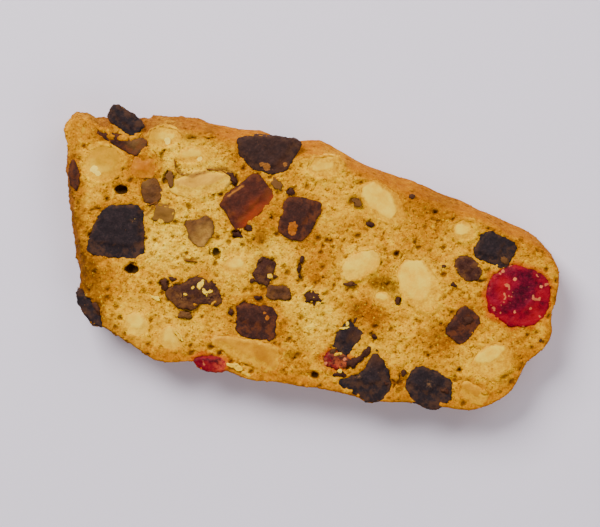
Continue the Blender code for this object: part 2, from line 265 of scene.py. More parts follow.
# Camera, floor and light
view = {
    "roll": 13.0,               # the slice lies this many degrees down to the right
    "width": 118 * mm,          # of the floor, across the picture
    "distance": 0.62,
    "aim": (0.0, 0.0, 4 * mm),
    "nearest": 0.01,
    "floor": rgb(231, 223, 240),
    "floorHalf": 1.5,
    "floorRoughness": 0.75,
    "sky": 0.18,
}
lamps = {      # place, size, power and colour
    "key": ((-0.46, 0.40, 0.55), 0.45, 11.5, (1.0, 0.98, 0.94)),
    "fill": ((0.55, -0.35, 0.42), 0.6, 2.9, (1.0, 0.98, 0.96)),
    "back": ((0.30, 0.60, 0.45), 0.6, 2.9, (1.0, 0.98, 0.96)),
}


def makeCamera():
    camera = bpy.data.cameras.new("camera")
    camera.lens = camera.sensor_width * view["distance"] / view["width"]
    camera.clip_start = view["nearest"]
    thing = added("camera", camera)
    thing.location = Vector(view["aim"]) + Vector((0, 0, view["distance"]))
    thing.rotation_euler = (0, 0, math.radians(view["roll"]))
    bpy.context.scene.camera = thing


def makeFloor():
    bm = bmesh.new()
    bmesh.ops.create_grid(bm, x_segments=1, y_segments=1, size=view["floorHalf"])
    mesh = meshOf(bm, "floor")
    look = Look("floor", Base_Color=view["floor"], Roughness=view["floorRoughness"])
    mesh.materials.append(look.material)
    added("floor", mesh)


def makeLight():
    for name, (place, size, power, tint) in lamps.items():
        lamp = bpy.data.lights.new(name, "AREA")
        lamp.size = size
        lamp.energy = power
        lamp.color = tint
        thing = added(name, lamp)
        thing.location = place
        thing.rotation_euler = (Vector(view["aim"]) - Vector(place)).to_track_quat("-Z", "Y").to_euler()
    world = bpy.data.worlds.new("sky")
    world.use_nodes = True
    sky = world.node_tree.nodes["Background"]
    sky.inputs["Color"].default_value = (1, 1, 1, 1)
    sky.inputs["Strength"].default_value = view["sky"]
    bpy.context.scene.world = world


makeCamera()
makeFloor()
makeLight()
print("camera, floor and light made")


# Places below, in millimetres: x, y, how far it spreads, how strong
crumbValues = {
    "voxel": 0.36 * mm,
    "plugSwell": 0.36 * mm,     # closes the gap between the crumb and each piece of fruit
    "plugTop": 7.7 * mm,        # where the dark pieces' plugs end, so that they sit in dips
    "upperFace": (7.0 * mm, 7.7 * mm),      # the heights over which each cut face begins
    "lowerFace": (0.9 * mm, 0.3 * mm),
    "faceTurn": (0.3, 0.8),     # how far a cut face's points face up, or down
    "dipFloor": (7.6 * mm, 6.9 * mm),
    "dipTurn": (-0.2, 0.2),
    "west": (-20, -34),         # in millimetres: the left end is coarser than the smooth top edge
    "within": (0.9 * mm, 7.1 * mm),         # heights that are clear of both cut faces
    "crustDepth": (1.4 * mm, 0.7 * mm),
    "fruitReach": 3 * mm,       # how far from a piece of fruit the crumb is measured
    "halo": (1.9 * mm, 0.2 * mm),           # how far round it the crumb is stained
    "haloRagged": 0.7 * mm,
    "red": (1.5 * mm, 0.1 * mm),            # the same for a cherry's juice
    "redRagged": 0.6 * mm,
    "waveSize": 5.0 * mm,
    "waveRise": 0.20 * mm,
    "clumpSize": 2.2 * mm,
    "clumpRise": 0.20 * mm,
    "grainSize": 1.15 * mm,
    "grainRise": 0.416 * mm,
    "smallGrain": 0.55,         # of the size of the others
    "smallRise": 0.234 * mm,
    "raggedSize": 1.8 * mm,
    "pitSize": 0.95 * mm,
    "pitEdge": (0.35, 0.95),
    "pitDeep": 0.32 * mm,
    "wallWave": 0.22 * mm,
    "wallClump": 0.16 * mm,
    "wallGrain": 0.30 * mm,
    "pores": 2600,
    "poreRadius": (0.22, 0.60),
    "poreSkew": 2.5,            # most are near the smaller radius
    "poreDeep": 1.2,            # depth beside radius
    "poreRagged": (0.30, 0.28),
    "pocketDeep": 0.8 * mm,
    "wallInset": -0.5,          # in millimetres: the fruit stands free of the crust at the side
    "rimReach": (2.1 * mm, 0.1 * mm),       # how far the browning comes in over a cut face
    "rimRagged": 0.9 * mm,
    "seed": 11,
}
# how the crumb meets each kind of piece: how far it laps over the rim, how raggedly and over what slope
# in millimetres, and how strongly the piece stains it
joins = {
    "nut": (0.05, 0.25, 0.5, 0.0),
    "walnut": (0.15, 0.25, 0.5, 0.0),
    "yellow_peel": (0.05, 0.25, 0.5, 1.0),
    "orange_peel": (0.2, 0.25, 0.5, 1.0),
    "prune": (0.1, 0.25, 0.25, 0.5),
    "date": (0.1, 0.25, 0.25, 1.0),
    "raisin": (0.1, 0.55, 0.25, 0.5),
    "cherry": (0.1, 0.55, 0.25, 1.0),
    "none": (0.1, 0.25, 0.25, 0.0),
}
lapOf = {"nut_corner": 1.5, "nut_upper": 0.3, "walnut_bit": 0.1}      # the lap of single pieces
hollows = (      # x, y, radius, depth: gaps left by what fell out, and large bubbles
    (-38.2, 6, 0.7, 1.3), (-37.5, 6.4, 0.8, 1.5), (-36.8, 6.2, 0.6, 1.2), (-32.7, -8.6, 0.6, 1.2),
    (-31.9, -8.2, 0.8, 1.4), (-31.3, -7.8, 0.5, 1.1), (-16.6, 13.1, 0.9, 1.4), (-15.8, 12.4, 0.7, 1.4),
    (-13.4, 2.9, 0.9, 1.3), (-11.4, 4.4, 0.7, 1.2), (-16.3, -2, 0.8, 1.1), (-17.2, -1.8, 0.6, 1),
    (-25.4, -9.8, 0.8, 1.2), (-24.6, -9.4, 0.6, 1), (-6.4, -8.3, 0.5, 0.9), (-10.9, -12.5, 0.6, 1),
    (-11.2, -11.6, 0.4, 0.8), (-29.2, 11.6, 0.5, 0.6), (20.4, -2.7, 0.6, 1.2), (20.6, -3.5, 0.4, 0.9),
    (18.1, 5.8, 0.6, 1), (11.5, 10.6, 0.7, 1.1), (18.2, 17.9, 0.6, 0.9), (-5, 13.4, 0.7, 1),
    (21, 9.1, 0.5, 0.9), (3.7, 4.4, 0.5, 0.9), (7.2, 14.2, 0.9, 0.6), (17.2, -10.7, 0.6, 1),
    (-7.4, 7.4, 0.5, 0.9), (28.6, -12, 0.6, 0.9), (24.3, -6.4, 0.4, 0.8), (29.6, -5.4, 0.5, 0.8),
    (-38.7, 8.2, 0.6, 0.5), (-39.6, 3.8, 0.6, 0.8), (-18.2, -18.6, 0.5, 0.7), (-22.2, -17.2, 0.7, 0.6),
    (3.2, -18.2, 0.5, 0.9), (-19.8, -14.8, 0.8, 0.6), (-18.9, -14.9, 0.7, 0.6), (-36.8, -17, 0.9, 0.7),
    (-28.4, -12.2, 0.5, 0.7), (23.6, 15.7, 0.6, 0.9), (38.2, 2.4, 0.6, 0.9), (40.6, 16, 0.5, 0.8),
    (35, -13.2, 0.5, 0.9), (46.6, -3.6, 0.6, 0.8), (26.8, 9.4, 0.5, 0.8), (36.4, 18.2, 0.5, 0.7),
    (-30.2, 0.6, 0.4, 0.7), (-29.6, -5.8, 0.4, 0.8), (-34.8, 3.6, 0.5, 0.7), (8.8, 2, 0.4, 0.6),
    (-12.2, 0.2, 0.4, 0.7), (-1.2, -7, 0.4, 0.7), (4.9, -1.6, 0.4, 0.6), (7.4, 6.6, 0.4, 0.8),
    (14.6, 9.4, 0.4, 0.7),
)
cracks = (      # half width, depth, and the places it runs through
    (0.22, 0.5, (0.2, -1.2), (0.5, -2.4), (1.3, -3.2)),
    (0.24, 0.5, (2.2, -4.2), (3.2, -5.2)),
    (0.20, 0.3, (-26.8, 19), (-25.4, 19.5)),
    (0.20, 0.3, (23.2, 14.2), (24.6, 14)),
    (0.22, 0.4, (-40.6, 9.8), (-39.6, 9.2), (-38.8, 9.6)),
    (0.22, 0.4, (-42.2, 1), (-41, 1.6), (-39.8, 1.2)),
    (0.25, 0.5, (33, 5.2), (34.6, 4.6), (36, 5)),
    (0.22, 0.5, (40.2, -9), (41.4, -9.8), (42.6, -9.6)),
)
skinLines = (      # brown skin, drawn as cracks are
    (0.34, 0, (-28, 13.2), (-26.6, 11.9), (-24.2, 12), (-22, 13.3), (-21, 14.1), (-18.4, 14.7),
     (-16.8, 14.2)),
    (0.32, 0, (-17, 14.4), (-16.4, 13.2), (-17.2, 11.6)),
    (0.24, 0, (-31.4, 2.4), (-30, 4.9), (-27.4, 5.3)),
    (0.22, 0, (-22.9, -3.6), (-21.2, -4.4), (-19.6, -3.4)),
)
tints = {
    "pale": (
        (-24, 0, 6, 0.95), (-27, -3, 4.5, 0.6), (-13.2, -3, 4.6, 1.1), (-22, 13.5, 6.5, 0.75),
        (-5.5, 1.2, 3.5, 0.9), (5, -9.8, 5, 0.95), (-30.5, 17.8, 3.2, 0.9), (3, 8.5, 3, 0.45),
        (-20.5, -18, 4.2, 0.6), (1.4, 20.2, 3, 0.9), (-29, -19, 3.2, 0.9), (-43, 2.9, 1.6, 0.7),
        (-31, 13.5, 2.6, 0.6), (6.2, 0.8, 2.2, 0.3), (-24.2, 15.8, 2.6, 0.8), (6.6, 17.4, 2.4, 0.3),
        (14, -13, 2, 0.2), (20, -12, 3, 0.3), (38, 8, 5, 0.4), (-1, -8, 2.2, 0.4), (-17.5, 7, 2.4, 0.5),
        (34, -10.5, 3, 0.3), (11, 16.6, 2.6, 0.5),
    ),
    "amber": (
        (-36.5, 8.6, 4, 0.8), (-34, 11.5, 2.6, 1.6), (-8.2, 6.6, 2.2, 1.2), (3.2, -1, 2.6, 1.3),
        (4, 2.4, 3, 0.8), (14.5, -5.4, 3.2, 0.9), (17.5, -7.6, 2.4, 1.1), (-6, -9, 3, 1.1),
        (-0.8, -12.5, 2.2, 1.1), (20, 17.6, 5.5, 1.4), (30, -9, 3.6, 1.3), (10, 20.5, 4, 0.8),
        (-20, 21, 5, 0.7), (-47, 15, 3.4, 0.6), (23.4, -18, 2, 1.3), (9.4, 10, 2.4, 0.7),
        (-41, 1.5, 2.6, 0.8), (-38, -10, 3.8, 1.2), (-38.5, -15, 3.8, 1.3), (28, -20.5, 3, 0.7),
        (-17.6, -5.8, 2.4, 0.6), (-14.2, 15.2, 2.2, 0.8), (5, -23, 5, 0.8), (-20, -23.6, 5, 0.8),
        (-9, 2.4, 2.2, 0.7), (45, -6, 5, 0.8), (42, 14, 5, 0.8), (1, 5.4, 2.4, 0.9), (26, 17, 4, 0.9),
        (22, 8, 4, 0.5), (14, 5.6, 1.6, 0.5), (-45.2, 3.4, 2, 0.7), (16.5, -17, 1.8, 0.7), (36, 0, 3, 0.5),
        (-37, -13, 2.4, 0.8), (-16, 16.5, 2, 0.6),
    ),
    "yolk": (
        (5, 15, 5, 0.8), (-31.5, -19, 4.4, 1.2), (-24, -21.5, 3, 0.7), (21, -13, 4, 0.9),
        (4.5, 0.5, 3.4, 0.9), (14, 14.5, 4, 0.7), (-7, -19.5, 4, 0.8), (-45.5, 3.5, 2.6, 0.7),
        (-36.5, 14, 2.4, 0.8), (22.5, -4.5, 3.4, 0.6), (33, 9, 5, 0.6), (38, -12, 5, 0.7),
        (-2, 21, 3.6, 0.7), (-12, 10.8, 2, 0.6), (-29, -10, 3, 0.4), (11, -3, 2.6, 0.6),
        (-35.5, 2.6, 2.4, 0.5), (-14, -17, 3, 0.5), (26, -19.5, 3, 0.5), (44, 12, 4, 0.5),
    ),
    "rust": (
        (12.6, -6.6, 1.6, 0.9), (16.3, -7.3, 2.2, 1.1), (14.6, -5, 1.4, 0.6), (3.4, -2, 1.5, 0.6),
        (-35.2, 12.4, 1.6, 0.6), (6.2, 7.8, 1.2, 0.4), (-6.6, -9.2, 1.3, 0.8), (-1.6, -14.4, 1.2, 0.6),
        (23.4, -18.2, 1.4, 1), (-9, 3.4, 1.3, 0.7), (-40.2, -12.5, 2, 0.6), (-38, -17.4, 2, 0.6),
        (-45.8, -3, 1.4, 0.5), (20.5, 17.8, 2.2, 0.6), (12.2, 19.6, 1.8, 0.4), (30.5, -8.4, 1.8, 0.7),
        (44.6, -7.6, 2, 0.5), (39, 13.6, 1.8, 0.4),
    ),
    "gold": (      # smooth dough that stayed light in the oven
        (-49.2, 16.6, 2.4, 1.2), (-47, 14.2, 2.2, 1), (-50, 12.6, 1.6, 0.8), (-46, 17.6, 1.6, 0.6),
        (2, 21.6, 2.6, 0.5), (-31.5, 20.8, 2, 0.5),
    ),
    "brown": (
        # the first three spots, round x 15 to 18.4 and y -0.5, are a painted shadow between two nuts
        (16.4, -0.2, 1.6, 1.2), (18.4, -0.5, 1.4, 1.2), (15, -0.6, 1, 0.9), (-39.4, -13, 3.2, 0.9),
        (-40.5, -9.5, 2.2, 0.7), (29.6, -8, 2.2, 0.7), (12.6, -6.2, 1.2, 1), (17.4, -7.8, 1.2, 0.6),
        (-45.2, -1.6, 1.9, 0.9), (-47.4, 4, 1.4, 0.8), (25.2, 18.2, 2.4, 0.5), (22, 17.6, 3, 0.3),
        (-8.6, 3.2, 1.5, 0.8), (-24.6, -11.6, 1.2, 0.4), (-28.5, 10.9, 1.3, 1.2), (-28.4, 3.4, 1.8, 0.5),
        (2, -18, 1.2, 0.7), (10.4, -1.8, 1.2, 0.8), (24, -18.4, 1, 0.7), (-42.6, -6.4, 1.4, 0.9),
        (-37, -19.2, 2, 0.8), (-19.5, -14.8, 1.1, 1), (46.5, 4.5, 2.2, 0.6), (7.2, 14.2, 1, 0.8),
        (-36.6, -17, 1.4, 0.9), (44.4, -13, 2.2, 0.5), (-23.2, 21.2, 1.4, 0.7), (-26.2, 19.3, 1, 0.9),
        (26.4, -22.4, 1.6, 0.7),
    ),
}


def farFrom(points, x, y):      # in plan, in millimetres
    return np.hypot(points[:, 0] / mm - x, points[:, 1] / mm - y)


def tintAt(points, spots, ragged):      # how strongly some soft spots colour each point
    amount = np.zeros(len(points))
    for x, y, spread, strength in spots:
        far = farFrom(points, x, y) / spread
        amount += strength * np.exp(-(far * (1 + 0.35 * ragged)) ** 2)
    return np.clip(amount * (1 + 0.3 * ragged), 0, 1)


def spotAt(points, spots):      # spots whose uneven edge the material cuts: x, y, radius
    amount = np.zeros(len(points))
    for x, y, radius in spots:
        far = farFrom(points, x, y) / radius
        amount = np.maximum(amount, np.clip(1.5 - far, 0, 1))
    return amount


def lineAt(points, lines, ragged):      # how near each point is to some lines, and the depth there
    near, depth = np.zeros(len(points)), np.zeros(len(points))
    place = points[:, :2] / mm + np.stack([ragged, -ragged], 1) * 0.25
    for half, deep, *corners in lines:
        for start, end in zip(np.array(corners[:-1]), np.array(corners[1:])):
            run = end - start
            share = np.clip(((place - start) @ run) / (run @ run), 0, 1)
            far = np.linalg.norm(place - start - share[:, None] * run, axis=1)
            here = smooth(half * 1.9, half * 0.5, far)
            near = np.maximum(near, here)
            depth = np.maximum(depth, here * deep * mm)
    return near, depth


def fruitDistances(points, reach):      # signed distance to the nearest fruit or nut, and which one it is
    corners, faces, owners = [], [], []
    for number, name in enumerate(fruitNames):
        bm = nodeCopy(name)
        start = len(corners)
        corners += [vert.co.copy() for vert in bm.verts]
        faces += [[start + vert.index for vert in face.verts] for face in bm.faces]
        owners += [number] * len(bm.faces)
        bm.free()
    tree = BVHTree.FromPolygons(corners, faces)
    distances, kinds = np.full(len(points), reach), np.full(len(points), -1)
    down = Vector((0.013, 0.007, -1)).normalized()      # a little askew, so that it meets no edge
    for index, point in enumerate(points):
        place = Vector(point)
        spot, normal, face, distance = tree.find_nearest(place, reach)
        if spot is not None:
            hit, wall, struck, depth = tree.ray_cast(place - down * 0.02 * mm, down)
            inside = hit is not None and wall.dot(down) > 0      # met from within
            distances[index] = -distance if inside else distance
            kinds[index] = owners[face]
    return distances, kinds


# the outer wall is steep, between these heights, with nothing outside it for this far
wallValues = {"steep": 0.7, "low": 0.5 * mm, "high": 7.3 * mm, "top": 5.4 * mm, "step": 0.3 * mm,
              "room": 3.2 * mm}


def outerWall(points, normals, mesh):      # how far each point is from the wall, and in plan from its top
    values = wallValues
    tree = BVHTree.FromPolygons([Vector(p) for p in points], [tuple(f.vertices) for f in mesh.polygons])
    chosen = []
    for point, normal in zip(points, normals):
        if abs(normal[2]) < values["steep"] and values["low"] < point[2] < values["high"]:
            out = Vector((normal[0], normal[1], 0)).normalized()
            if tree.ray_cast(Vector(point) + out * values["step"], out, values["room"])[0] is None:
                chosen.append(Vector(point))
    whole = treeOf(chosen)
    top = treeOf([(p.x, p.y, 0) for p in chosen if p.z > values["top"]])
    fromWall = np.array([whole.find(Vector(p))[2] for p in points])
    fromTop = np.array([top.find((x, y, 0))[2] for x, y, z in points])
    return fromWall, fromTop


def crumbSkin():      # the crumb with its pockets plugged, as one closed skin
    values = crumbValues
    bm = nodeCopy("crumb")
    plugs = bpy.data.meshes.new("plugs")
    for name in fruitNames:
        plug = nodeCopy(name, values["plugSwell"])
        highest = topOfSlice if slotOf[name] in paleSlots else values["plugTop"]
        for vert in plug.verts:
            vert.co.z = min(max(vert.co.z, 0.0), highest)
        plug.to_mesh(plugs)
        plug.free()
        bm.from_mesh(plugs)
    bpy.data.meshes.remove(plugs)
    return remeshed(bm, values["voxel"], "crumb_slice")


def bubblesAt(points, ragged, pits):      # how far pores and hollows push each point in, and how much painted shade darkens it there
    values = crumbValues
    chance = random.Random(values["seed"])
    low, high = values["poreRadius"]
    broad, fine = values["poreRagged"]
    bubbles = []
    for _ in range(values["pores"]):
        index = chance.randrange(len(points))
        radius = low + (high - low) * chance.random() ** values["poreSkew"]
        bubbles.append((points[index], radius, values["poreDeep"]))
    for x, y, radius, deep in hollows:
        bubbles.append(((x * mm, y * mm, topOfSlice), radius, deep / radius))
    push, pore = np.zeros(len(points)), np.zeros(len(points))
    tree = treeOf(points)
    for place, radius, deep in bubbles:
        for spot, index, distance in tree.find_range(Vector(place), radius * 1.5 * mm):
            reach = radius * (1 + broad * ragged[index] + fine * pits[index]) * mm
            share = math.sqrt(max(0.0, 1 - (distance / reach) ** 2))
            push[index] = max(push[index], share * radius * deep * mm)
            pore[index] = max(pore[index], share * min(1.0, radius * deep * 1.1))
    return push, pore


def makeCrumb():
    values = crumbValues
    mesh = crumbSkin()
    points, normals = shapeOf(mesh)
    height, facing = points[:, 2], normals[:, 2]
    wave = noiseAt(points, values["waveSize"])
    clumps = noiseAt(points, values["clumpSize"], seed=1)
    ragged = noiseAt(points, values["raggedSize"], 4, 5)
    pits = noiseAt(points, values["pitSize"], 2, 6)
    grains = cellsAt(points, values["grainSize"], 2)
    small = cellsAt(points, values["grainSize"] * values["smallGrain"], 3)

    # what each point belongs to: a cut face, the crust at the side, or the floor of a dip
    fromWall, fromTop = outerWall(points, normals, mesh)
    outer = smooth(*values["crustDepth"], fromWall)
    upper = smooth(*values["upperFace"], height) * smooth(*values["faceTurn"], facing)
    lower = smooth(*values["lowerFace"], height) * smooth(*values["faceTurn"], -facing)
    side = np.clip(1 - upper - lower, 0, 1) * outer
    pitted = smooth(*values["dipFloor"], height) * smooth(*values["dipTurn"], facing) * (1 - outer)
    west = smooth(*values["west"], points[:, 0] / mm)

    # the nearest fruit or nut
    within = np.column_stack((points[:, :2], np.clip(height, *values["within"])))
    far, kinds = fruitDistances(within, values["fruitReach"])
    names = np.array(fruitNames + ["none"])[kinds]
    slots = np.array([slotOf[name] for name in fruitNames] + ["none"])[kinds]
    rows = np.array([joins[slotOf[name]] for name in fruitNames] + [joins["none"]])
    cover, torn, slope, stain = rows[kinds].T
    for name, wide in lapOf.items():
        cover = np.where(names == name, wide, cover)
    dark = (kinds >= 0) & ~np.isin(slots, paleSlots)
    nutty = (slots == "nut") & (names != "nut_corner")
    halo = smooth(*values["halo"], far + ragged * values["haloRagged"])

    # pores, cracks and pits, darkened with painted shade
    push, pore = bubblesAt(points, ragged, pits)
    split, splitDeep = lineAt(points, cracks, ragged)
    push = np.maximum(push, splitDeep * upper)
    pore = np.maximum(pore, split * upper * 0.9)
    gaps = smooth(*values["pitEdge"], pits) * (1 - side)
    push = np.maximum(push, gaps * values["pitDeep"])
    pore = np.maximum(np.maximum(pore, gaps * 0.42), pitted * 0.95)

    # the dips that the fruit sits in
    inset = np.where(side > 0.5, values["wallInset"], cover + (torn + 0.6 * cover) * ragged) * mm
    over = smooth(-inset + 0.1 * mm, -inset - slope * mm, far)
    push = push * (1 - 0.8 * side) * (1 - over) + over * values["pocketDeep"]

    # the relief of the cut faces and of the crust
    rise = wave * values["waveRise"] + clumps * values["clumpRise"]
    rise += (0.45 - grains) * values["grainRise"] + (0.4 - small) * values["smallRise"]
    coarse = clumps * values["wallClump"] + (0.4 - grains) * values["wallGrain"]
    wallRise = wave * values["wallWave"] + coarse * (0.2 + 1.3 * west)
    rise = rise * (1 - side) * (1 - 0.5 * halo * nutty) + wallRise * side
    moved = points + normals * (rise - push)[:, None]
    moved[:, 2] = np.clip(moved[:, 2], 0.0, ceiling["crumb"])
    movePoints(mesh, moved)

    rimFar, rimNear = values["rimReach"]
    edge = smooth(rimFar * (1 + 0.9 * west), rimNear, fromTop + ragged * values["rimRagged"]) * (1 - side)
    tint = {name: tintAt(points, spots, ragged) for name, spots in tints.items()}
    layers = {
        "crust": np.clip(side + 0.6 * edge, 0, 1) * (1 - 0.75 * tint["gold"]),
        # painted shade in pores, cracks, pits, dip floors and the slope down into the dips round dark fruit
        "pore": np.clip(np.maximum(pore, over * 0.8 * dark), 0, 1),
        "pale": np.clip(tint["pale"] + 0.3 * halo * nutty, 0, 1),
        "yolk": np.clip(tint["yolk"] + 0.8 * halo * nutty, 0, 1),
        "rust": tint["rust"],
        "amber": np.clip(tint["amber"] + 0.8 * halo * stain + 0.35 * edge, 0, 1),
        "brown": tint["brown"],
        "west": west,
        "line": lineAt(points, skinLines, ragged)[0] * upper,
        "red": smooth(*values["red"], far + ragged * values["redRagged"]) * (slots == "cherry"),
    }
    paint(mesh, **layers)
    material = crumbLook()
    finish(mesh, "crumb_slice", material, "crumb", "crumb")
    print("crumb made")
    free = (far > 0.4 * mm) & (pore < 0.45) & (halo * nutty < 0.6)
    makeGrains(moved, shapeOf(mesh)[1], layers, free, side, material)
    makeBits("crust_flakes", flakes, material, "crumb", pale=(1.0, 0.0), amber=(-0.9, 1.0), shade=(1.0, 0.0))
    print("loose crumbs and flakes made")


# loose and half-sunk crumbs: radius in millimetres, most of them small, and fewer below the cut face
grainValues = {"count": 6500, "radius": (0.15, 0.40), "skew": 1.8, "sunk": 0.45, "shade": 0.5,
               "upper": 6.5 * mm, "below": 0.45, "turn": 6.28, "seed": 5, "batch": 250}
grainStretch = ((0.7, 1.3), (0.7, 1.2), (0.6, 1.0))


def makeGrains(points, normals, layers, free, side, material):
    values = grainValues
    chance = random.Random(values["seed"])
    low, high = values["radius"]
    spots, shades = [], []
    count = values["count"]
    while len(spots) < count:
        index = chance.randrange(len(points))
        wanted = 1.0 if points[index][2] > values["upper"] else values["below"]
        if free[index] and chance.random() < wanted * (1 - 0.6 * side[index] * (1 - layers["west"][index])):
            spots.append(index)
            shades.append(chance.gauss(0, values["shade"]))
    whole = bmesh.new()
    batch = bpy.data.meshes.new("batch")
    for start in range(0, count, values["batch"]):
        bm = bmesh.new()
        for index in spots[start:start + values["batch"]]:
            radius = (low + (high - low) * chance.random() ** values["skew"]) * mm
            place = Vector(points[index]) - Vector(normals[index]) * radius * values["sunk"]
            turn = Euler([chance.uniform(0, values["turn"]) for _ in range(3)]).to_matrix().to_4x4()
            shape = Matrix.Diagonal([chance.uniform(*stretch) for stretch in grainStretch] + [1])
            at = Matrix.Translation(place) @ turn @ shape
            bmesh.ops.create_icosphere(bm, subdivisions=1, radius=radius, matrix=at)
        bm.to_mesh(batch)
        bm.free()
        whole.from_mesh(batch)
    bpy.data.meshes.remove(batch)
    for vert in whole.verts:
        vert.co.z = min(max(vert.co.z, 0.0), ceiling["grains"])
    mesh = meshOf(whole, "crumb_grains")
    each = len(mesh.vertices) // count
    paint(mesh, shade=np.repeat(shades, each))
    paint(mesh, **{name: np.repeat(layer[spots], each) for name, layer in layers.items()})
    finish(mesh, "crumb_grains", material, "crumb")


# small bits of fruit: x, y, half length, half width in millimetres, turn in degrees, how light
bits = (
    (4, -6.1, 1.9, 1.3, -40, 0.1), (-7.7, 14.2, 1.1, 0.9, -40, 1), (-5, 13.3, 0.8, 0.5, 0, 0),
    (-25, -9.8, 0.8, 0.9, 0, 0.2), (-23.4, -8.6, 0.9, 0.35, 10, 0.2), (-19.5, -14.8, 1.2, 0.6, 0, 0.8),
    (20.4, -2.8, 0.4, 0.9, 10, 0.1), (0.2, 0.7, 0.35, 0.5, 0, 0), (0, -0.9, 0.4, 0.7, -10, 0),
    (0.5, -2.4, 0.3, 0.4, 20, 0.1), (-6.4, -8.3, 0.6, 0.4, 0, 0), (-10.9, -12.3, 0.4, 0.7, 20, 0.1),
    (10.7, -1.7, 0.9, 0.35, 10, 0.4), (17.3, -10.6, 0.4, 0.3, 0, 0), (16.5, -13.6, 0.6, 0.8, 0, 0.1),
    (-13.3, 2.8, 0.9, 0.6, -10, 0), (-11.3, 4.5, 0.6, 0.5, 0, 0), (-16.4, 12.9, 0.7, 1.1, 30, 0),
    (-17.6, 13.9, 0.6, 0.35, -20, 0.2), (11.6, 10.6, 0.6, 0.4, 0, 0), (18.3, 17.7, 0.5, 0.4, 0, 0.3),
    (8, 14.5, 0.9, 0.8, 0, 0.9), (-36.9, -17.4, 1.3, 0.5, -50, 0.2), (-8.2, -5.2, 0.5, 0.3, 40, 0.2),
    (-4.2, -3.6, 0.4, 0.3, 0, 0.3), (-7.6, -1, 0.5, 0.3, 60, 0.3), (13, -8.2, 0.4, 0.6, 0, 0.2),
    (18.4, -13.2, 0.4, 0.3, 0, 0.2), (21.6, -19, 0.6, 0.5, 0, 0.1), (24.6, -16.2, 0.5, 0.4, 30, 0.2),
    (34.5, -3.5, 0.9, 0.6, 20, 0.1), (38.6, 9.8, 0.7, 0.5, -30, 0.8), (30.2, 2.6, 0.6, 0.4, 0, 0),
    (-28.5, 10.6, 1.15, 0.6, 98, 0.9), (14.6, -16.4, 1.5, 0.8, 40, 0), (12.2, -19.4, 1.3, 0.7, -14, 0),
    (15.9, -14.6, 0.9, 0.6, 60, 0.1), (10.2, -15.4, 0.8, 0.6, 30, 0.4), (49.2, -4, 0.6, 0.5, 50, 0.3),
    (33.2, -17.8, 0.8, 0.5, 0, 0.1), (27.4, 5.8, 0.5, 0.4, 0, 0.2),
)
skins = (      # the same for the walnut's thin skin
    (-28.2, 13.6, 1.1, 0.13, -68, 0), (-27.3, 12.1, 0.9, 0.12, -40, 0), (-25.6, 11.75, 1.3, 0.12, 2, 0),
    (-23.4, 12.5, 1.2, 0.12, 30, 0), (-20.4, 14, 1.4, 0.13, 4, 0), (-17.9, 13.9, 1.2, 0.13, -18, 0),
    (-30.6, 5, 0.9, 0.12, 35, 0), (-20.8, -4.3, 0.9, 0.11, 5, 0),
)
flakes = (      # the same for loose flakes of crust
    (-18, -8.3, 0.8, 0.38, 70, 1), (-17, -9.5, 0.7, 0.42, -24, 1), (-15.9, -9.1, 0.6, 0.35, 40, 0.95),
    (-16.4, -10.1, 0.5, 0.25, 100, 0.9), (-20.6, -11, 0.4, 0.25, 20, 0.9),
    (-19.4, -9.4, 0.4, 0.22, 60, 0.9), (-22.8, -9, 0.7, 0.3, 24, 0.2), (-18.2, -12.4, 0.6, 0.3, -10, 0.1),
    (-14.6, -11.2, 0.5, 0.3, 60, 0.3), (11.4, -10.3, 0.8, 0.34, 24, 1), (11.7, -9.5, 0.45, 0.3, 80, 0.95),
    (-23, 20.2, 0.9, 0.4, 20, 0), (-7.6, -22.6, 1.1, 0.45, -10, 0.9), (-5.6, -23.2, 0.9, 0.4, -20, 0.7),
    (-41.8, 16.1, 1.6, 0.6, -14, 0), (-39.2, 15.9, 1.7, 0.6, 6, 0), (-37, 16.9, 1.4, 0.6, 45, 0),
    (-44, 16.8, 1.2, 0.6, -25, 0), (23.2, -17.2, 1, 0.7, 60, 0.1), (24, -19.4, 0.8, 0.6, 80, 0.1),
    (11.4, -15.6, 0.8, 0.3, 20, 0.6), (-5.2, -3.8, 1, 0.35, -30, 0.9), (-26, -12.9, 1.1, 0.35, 0, 1),
    (-20.2, -18.9, 1.3, 0.4, -40, 0.9), (2.4, -5, 1.1, 0.4, 55, 0.8), (-33.4, 1.2, 0.35, 0.3, 0, 0.8),
    (12.4, -18.7, 0.35, 0.3, 0, 1), (40.8, -16.4, 0.9, 0.4, 30, 0.3), (30.8, 15.6, 0.9, 0.5, -20, 0.3),
)
# half thickness, how far the palest lie above the cut face and the others below it, and how lumpy they are
bitValues = {"thick": 0.42, "onTop": 0.12, "sunk": -0.22, "palest": 0.85, "flat": 0.4,
             "lumpSize": 1.1 * mm, "lumpFade": 0.8, "lumpy": 1.1, "least": -0.6}


def makeBits(name, places, material, slot, **layers):
    values = bitValues
    chance = random.Random(len(places))
    bm = bmesh.new()
    for x, y, long, wide, turn, light in places:
        lift = values["onTop"] if light > values["palest"] else values["sunk"]
        at = Matrix.Translation((x * mm, y * mm, topOfSlice + lift * mm))
        at = at @ Matrix.Rotation(math.radians(turn), 4, "Z")
        shape = Matrix.Diagonal((long, wide, values["thick"], 1))
        made = bmesh.ops.create_icosphere(bm, subdivisions=3, radius=mm, matrix=at @ shape)["verts"]
        offset = Vector((chance.uniform(0, 9), chance.uniform(0, 9), 0))
        for vert in made:
            out = vert.co - at.translation
            out.z *= values["flat"]
            place = vert.co / values["lumpSize"] + offset
            lumps = noise.fractal(place, values["lumpFade"], 2.0, 3) * values["lumpy"]
            vert.co += out * max(lumps, values["least"])
            vert.co.z = min(vert.co.z, ceiling["fruit"])
    mesh = meshOf(bm, name)
    light = np.repeat([place[5] for place in places], len(mesh.vertices) // len(places))
    paint(mesh, **{layer: light * share + base for layer, (share, base) in layers.items()})
    finish(mesh, name, material, slot)
